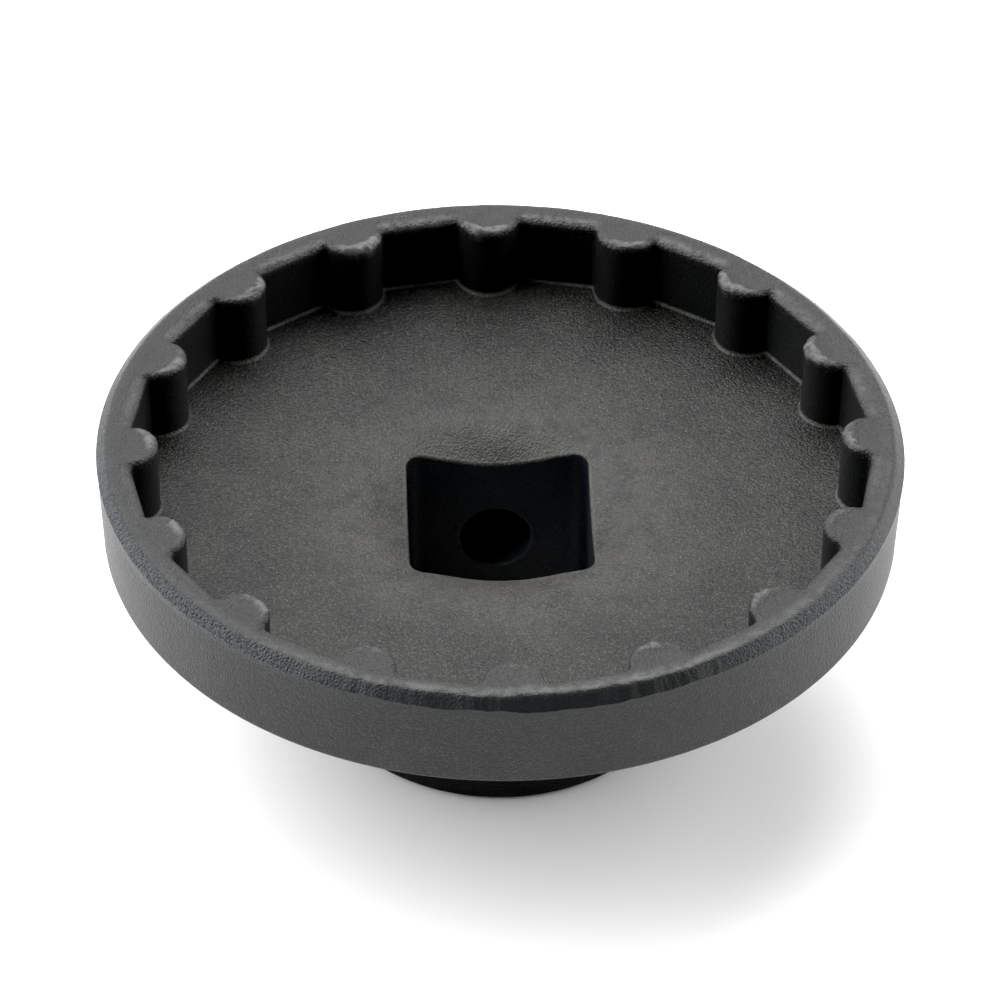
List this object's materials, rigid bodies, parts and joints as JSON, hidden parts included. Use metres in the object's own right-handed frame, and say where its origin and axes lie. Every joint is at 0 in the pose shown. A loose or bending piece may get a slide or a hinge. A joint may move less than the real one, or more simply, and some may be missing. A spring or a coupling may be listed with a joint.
{
  "type": "oil filter wrench",
  "caption": "Shallow cup-shaped cap wrench with half-round lugs standing inside its rim, turned through a square socket in a round hub behind the cup.",
  "frame": {"origin": "centre of the hub's bottom face, where the tool stands and where the square drive goes in", "axes": "+Z along the tool's axis, out of the open cup; +Y towards the wall of the socket that has the detent hole, and towards lug_01; +X to the right of that, so a face of the square is square to each of X and Y"},
  "size_m": [0.056, 0.056, 0.0222],
  "materials": {
    "blackened_steel": "matte, shot-blasted and blackened cast steel with a fine even grain, worn a little brighter on the rim and the tips of the lugs"
  },
  "bodies": {
    "root": {"rim_ring": "blackened_steel", "floor_web": "blackened_steel", "drive_hub": "blackened_steel", "lug_01": "blackened_steel", "lug_02": "blackened_steel", "lug_03": "blackened_steel", "lug_04": "blackened_steel", "lug_05": "blackened_steel", "lug_06": "blackened_steel", "lug_07": "blackened_steel", "lug_08": "blackened_steel", "lug_09": "blackened_steel", "lug_10": "blackened_steel", "lug_11": "blackened_steel", "lug_12": "blackened_steel", "lug_13": "blackened_steel", "lug_14": "blackened_steel", "lug_15": "blackened_steel", "lug_16": "blackened_steel"}
  },
  "joints": []
}
